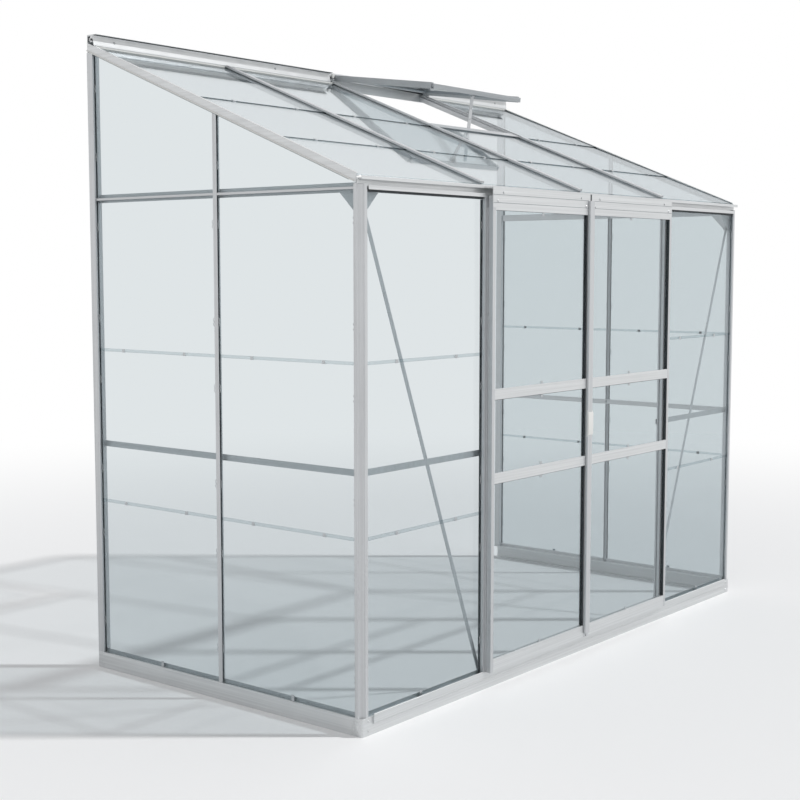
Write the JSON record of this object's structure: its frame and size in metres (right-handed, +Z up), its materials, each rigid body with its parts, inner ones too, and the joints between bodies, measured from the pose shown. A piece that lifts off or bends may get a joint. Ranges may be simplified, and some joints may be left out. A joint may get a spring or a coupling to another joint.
{
  "type": "lean-to greenhouse",
  "caption": "Lean-to aluminium and glass greenhouse for a house wall, with a pair of sliding doors in front and a propped roof vent.",
  "frame": {"origin": "middle of the footprint of the whole object, doors and handle included, at ground level", "axes": "+X along the front to the right of someone facing the doors, +Y towards the house wall, +Z up"},
  "size_m": [2.54, 1.2944, 2.252],
  "materials": {
    "aluminium_bars": "mill-finish extruded bars, satin",
    "aluminium_rails": "mill-finish extruded rails, satin, a little brighter",
    "glass": "clear 3 mm horticultural glass",
    "nylon": "white nylon"
  },
  "bodies": {
    "frame": {"base_sill_front": "aluminium_rails", "front_eave_rail": "aluminium_rails", "wall_plate": "aluminium_rails", "base_sill_left": "aluminium_rails", "corner_post_left": "aluminium_bars", "wall_post_left": "aluminium_bars", "end_stud_left": "aluminium_bars", "jamb_stud_left": "aluminium_bars", "rake_bar_left": "aluminium_rails", "end_eave_rail_left": "aluminium_bars", "girt_left": "aluminium_bars", "front_brace_left": "aluminium_bars", "front_glass_left": "glass", "end_glass_left_front": "glass", "gable_glass_left_front": "glass", "end_glass_left_rear": "glass", "gable_glass_left_rear": "glass", "base_sill_right": "aluminium_rails", "corner_post_right": "aluminium_bars", "wall_post_right": "aluminium_bars", "end_stud_right": "aluminium_bars", "jamb_stud_right": "aluminium_bars", "rake_bar_right": "aluminium_rails", "end_eave_rail_right": "aluminium_bars", "girt_right": "aluminium_bars", "front_brace_right": "aluminium_bars", "front_glass_right": "glass", "end_glass_right_front": "glass", "gable_glass_right_front": "glass", "end_glass_right_rear": "glass", "gable_glass_right_rear": "glass", "roof_bar_1": "aluminium_bars", "roof_bar_2": "aluminium_bars", "roof_bar_3": "aluminium_bars", "roof_glass_1": "glass", "roof_glass_2": "glass", "roof_glass_3": "glass", "roof_glass_4": "glass", "vent_sill_bar": "aluminium_bars"},
    "door_left": {"door_left_top_rail": "aluminium_rails", "door_left_bottom_rail": "aluminium_rails", "door_left_stile_outer": "aluminium_bars", "door_left_stile_inner": "aluminium_bars", "door_left_mid_rail_lower": "aluminium_rails", "door_left_mid_rail_upper": "aluminium_rails", "door_left_glass": "glass"},
    "door_right": {"door_right_top_rail": "aluminium_rails", "door_right_bottom_rail": "aluminium_rails", "door_right_stile_outer": "aluminium_bars", "door_right_stile_inner": "aluminium_bars", "door_right_mid_rail_lower": "aluminium_rails", "door_right_mid_rail_upper": "aluminium_rails", "door_right_glass": "glass"},
    "door_left_roller_1": {"door_left_roller_1": "nylon"},
    "door_left_roller_2": {"door_left_roller_2": "nylon"},
    "door_right_roller_1": {"door_right_roller_1": "nylon"},
    "door_right_roller_2": {"door_right_roller_2": "nylon"},
    "vent": {"vent_frame": "aluminium_rails", "vent_glass": "glass"},
    "stay": {"vent_stay": "aluminium_bars"}
  },
  "joints": [
    {"name": "door_left_slide", "type": "slide", "parent": "frame", "child": "door_left", "axis": [1, 0, 0], "range_m": [-0.58, 0]},
    {"name": "door_right_slide", "type": "slide", "parent": "frame", "child": "door_right", "axis": [1, 0, 0], "range_m": [0, 0.58]},
    {"name": "door_left_roller_1_spin", "type": "hinge", "parent": "door_left", "child": "door_left_roller_1", "pos_m": [-0.065, -0.60225, 1.6948], "axis": [0, 1, 0], "continuous": true},
    {"name": "door_left_roller_2_spin", "type": "hinge", "parent": "door_left", "child": "door_left_roller_2", "pos_m": [-0.56, -0.60225, 1.6948], "axis": [0, 1, 0], "continuous": true},
    {"name": "door_right_roller_1_spin", "type": "hinge", "parent": "door_right", "child": "door_right_roller_1", "pos_m": [0.065, -0.60225, 1.6948], "axis": [0, 1, 0], "continuous": true},
    {"name": "door_right_roller_2_spin", "type": "hinge", "parent": "door_right", "child": "door_right_roller_2", "pos_m": [0.56, -0.60225, 1.6948], "axis": [0, 1, 0], "continuous": true},
    {"name": "vent_hinge", "type": "hinge", "parent": "frame", "child": "vent", "pos_m": [0.311, 0.62575, 2.23497], "axis": [-1, 0, 0], "range_deg": [-14.2, 0]},
    {"name": "stay_pivot", "type": "hinge", "parent": "vent", "child": "stay", "pos_m": [0.311, 0.12754, 2.15097], "axis": [1, 0, 0], "range_deg": [0, 75]}
  ],
  "couplings": [
    {"joint": "door_left_roller_1_spin", "follows": "door_left_slide", "rad_per_m": 133.33},
    {"joint": "door_left_roller_2_spin", "follows": "door_left_slide", "rad_per_m": 133.33},
    {"joint": "door_right_roller_1_spin", "follows": "door_right_slide", "rad_per_m": 133.33},
    {"joint": "door_right_roller_2_spin", "follows": "door_right_slide", "rad_per_m": 133.33}
  ]
}
